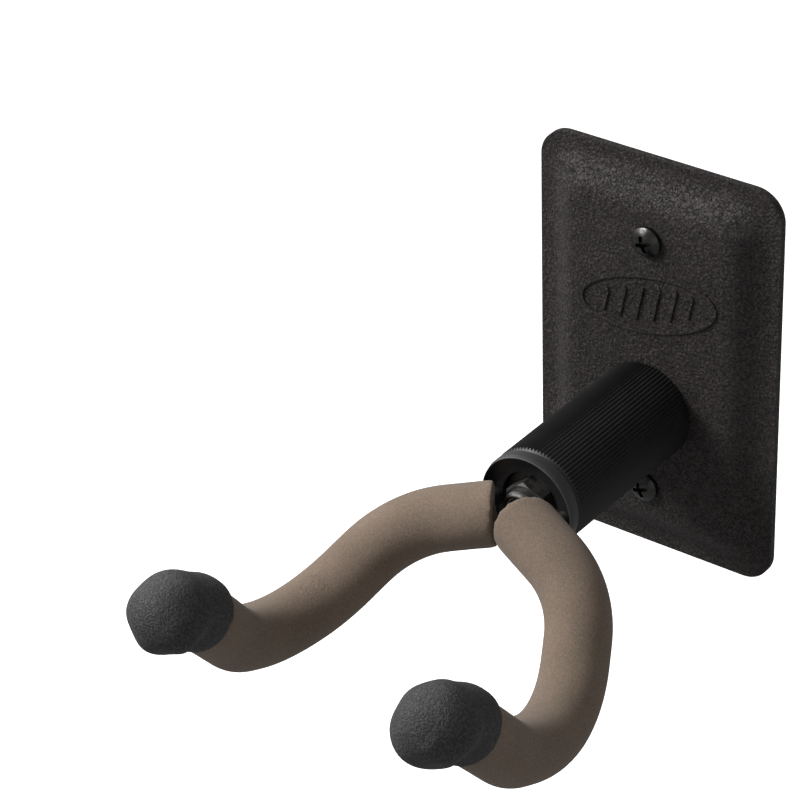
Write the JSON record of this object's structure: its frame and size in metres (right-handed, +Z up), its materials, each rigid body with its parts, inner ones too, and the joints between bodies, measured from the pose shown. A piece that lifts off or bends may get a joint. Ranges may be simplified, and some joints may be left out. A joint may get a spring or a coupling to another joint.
{
  "type": "wall guitar hanger",
  "caption": "Wall hanger for a guitar: pressed plate, ribbed barrel and a swivelling U-shaped yoke with foam sleeves and soft end caps.",
  "frame": {"origin": "centre of the plate's back face, on the wall", "axes": "+Z up along the wall, +Y into the wall, -Y out into the room, +X to the right seen from the room"},
  "size_m": [0.0974, 0.1933, 0.1142],
  "materials": {
    "plate_coat": "fine wrinkle powder coat on pressed steel",
    "barrel_anodised": "black, finely ribbed lengthwise",
    "hub_anodised": "black satin, thin bright lip",
    "steel": "zinc plated",
    "screw_steel": "black zinc, glossy",
    "rod_coat": "black coated steel bar",
    "black_nylon": "plain",
    "insert_nylon": "translucent white nylon",
    "foam": "matte taupe closed-cell foam, fine skin",
    "cap_rubber": "matte charcoal, fine grain"
  },
  "bodies": {
    "wall_mount": {"backplate": "plate_coat", "barrel": "barrel_anodised", "pivot_bolt": "steel", "hub_bushing": "black_nylon", "spring_washer": "steel", "flat_washer": "steel", "lock_nut": "steel", "lock_nut_insert": "insert_nylon", "top_wall_screw": "screw_steel", "bottom_wall_screw": "screw_steel"},
    "yoke": {"yoke_hub": "hub_anodised", "left_arm_rod": "rod_coat", "right_arm_rod": "rod_coat", "left_arm_sleeve": "foam", "right_arm_sleeve": "foam", "left_end_cap": "cap_rubber", "right_end_cap": "cap_rubber"}
  },
  "joints": [
    {"name": "yoke_swivel", "type": "hinge", "parent": "wall_mount", "child": "yoke", "pos_m": [0, -0.0574, -0.0128], "axis": [0, -1, 0], "continuous": true}
  ]
}
